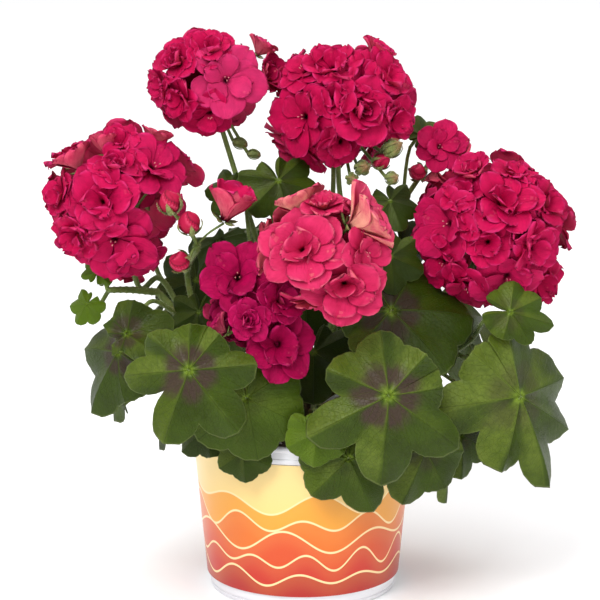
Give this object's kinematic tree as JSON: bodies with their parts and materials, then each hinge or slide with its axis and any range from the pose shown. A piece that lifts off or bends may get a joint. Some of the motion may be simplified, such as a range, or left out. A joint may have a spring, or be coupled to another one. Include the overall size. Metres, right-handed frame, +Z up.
{
  "type": "potted ivy geranium",
  "caption": "Bushy ivy geranium with thick lobed leaves, dark-zoned, and ball-shaped heads of double flowers, growing in a tapered round nursery pot with a printed wrap.",
  "frame": {"origin": "centre of the flat underside of the pot, on the surface that the pot stands on", "axes": "+Z up along the pot's axis, +Y away from the side that the picture shows, +X to the right of that side"},
  "size_m": [0.302, 0.246, 0.332],
  "materials": {
    "pot_plastic": "satin",
    "printed_film": "satin",
    "potting_soil": "matte",
    "woody_stem": "matte",
    "green_stem": "satin",
    "leaf": "satin",
    "petal_cerise": "satin",
    "petal_coral": "satin",
    "petal_magenta": "satin",
    "flower_bud": "satin"
  },
  "bodies": {
    "root": {"branch_front_left": "green_stem", "branch_front_right": "green_stem", "branch_left": "green_stem", "branch_right": "green_stem", "branch_upper_left": "green_stem", "branch_upper_right": "green_stem", "crown": "woody_stem", "flower_head_back_centre": "petal_cerise", "flower_head_back_left": "petal_cerise", "flower_head_back_right": "petal_cerise", "flower_head_buds_left": "flower_bud", "flower_head_front": "petal_coral", "flower_head_front_low": "petal_magenta", "flower_head_left": "petal_cerise", "flower_head_right": "petal_cerise", "flower_head_top_left": "petal_cerise", "flower_head_top_right": "petal_cerise", "flower_head_young_right": "petal_cerise", "flower_pot": "pot_plastic", "flower_stalk_back_centre": "green_stem", "flower_stalk_back_left": "green_stem", "flower_stalk_back_right": "green_stem", "flower_stalk_buds_left": "green_stem", "flower_stalk_front": "green_stem", "flower_stalk_front_low": "green_stem", "flower_stalk_left": "green_stem", "flower_stalk_right": "green_stem", "flower_stalk_top_left": "green_stem", "flower_stalk_top_right": "green_stem", "flower_stalk_young_right": "green_stem", "leaf_centre": "leaf", "leaf_centre_grey": "leaf", "leaf_centre_right": "leaf", "leaf_far_left": "leaf", "leaf_front_centre": "leaf", "leaf_front_left": "leaf", "leaf_front_right": "leaf", "leaf_inner_front": "leaf", "leaf_left_folded": "leaf", "leaf_low_narrow": "leaf", "leaf_low_right": "leaf", "leaf_over_pot": "leaf", "leaf_right": "leaf", "leaf_right_upper": "leaf", "leaf_rim_front": "leaf", "leaf_rim_left": "leaf", "leaf_rim_middle": "leaf", "leaf_rim_right": "leaf", "leaf_top_far_left": "leaf", "leaf_top_left": "leaf", "leaf_top_right": "leaf", "potting_soil": "potting_soil", "printed_wrap": "printed_film", "shoot_back_centre": "leaf", "shoot_back_left": "leaf", "shoot_back_right": "leaf", "shoot_inner_left": "leaf", "shoot_left": "leaf", "shoot_side_left": "leaf", "shoot_side_right": "leaf"}
  },
  "joints": []
}
